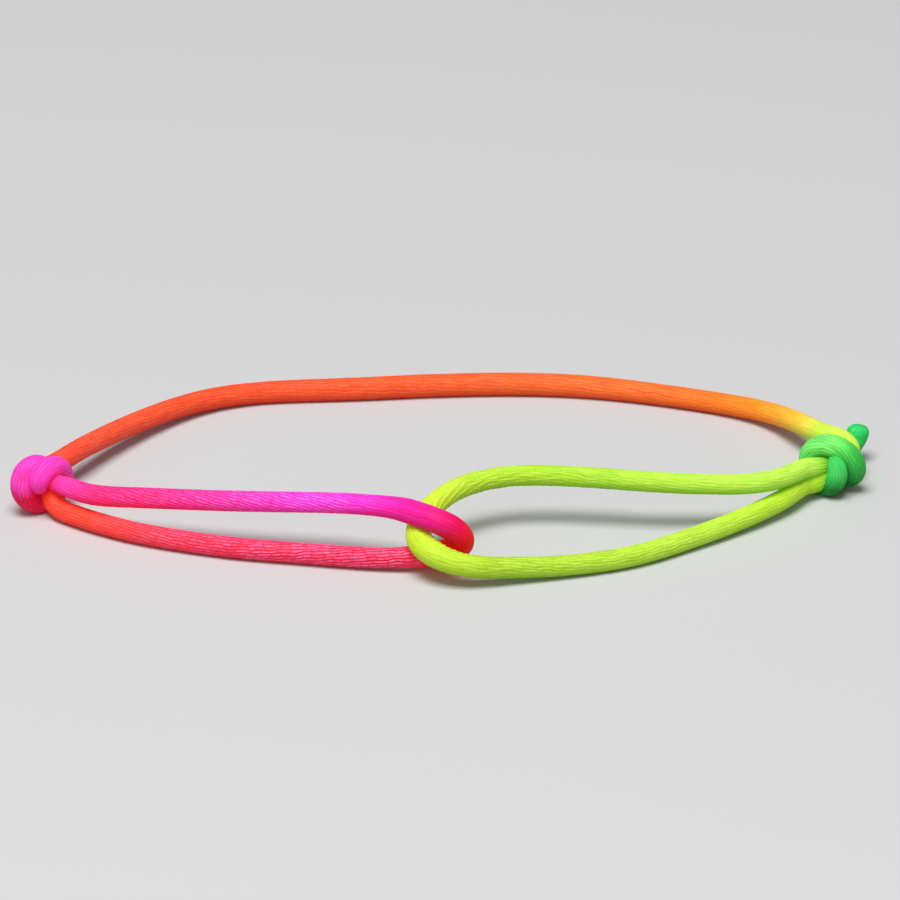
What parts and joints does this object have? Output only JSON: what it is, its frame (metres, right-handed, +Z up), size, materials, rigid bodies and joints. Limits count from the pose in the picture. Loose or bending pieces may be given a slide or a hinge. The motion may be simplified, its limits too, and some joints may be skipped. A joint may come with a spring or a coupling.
{
  "type": "sliding knot bracelet",
  "caption": "Bracelet of one satin cord with a sliding overhand knot at each side, which leaves two loops linked at the front and a plain strand across the back.",
  "frame": {"origin": "centre of the bounding box's bottom, on the surface that the bracelet lies on", "axes": "+X from the pink knot to the green knot, -Y to the front where the two loops are linked, +Z up, out of the wrist opening"},
  "size_m": [0.0803, 0.0439, 0.0068],
  "materials": {
    "orange_cord": "satin",
    "pink_cord": "satin",
    "lime_cord": "satin",
    "green_cord": "satin"
  },
  "bodies": {
    "root": {"back_cord": "orange_cord", "pink_loop": "pink_cord", "pink_knot": "pink_cord", "lime_loop": "lime_cord", "green_knot": "green_cord"}
  },
  "joints": []
}
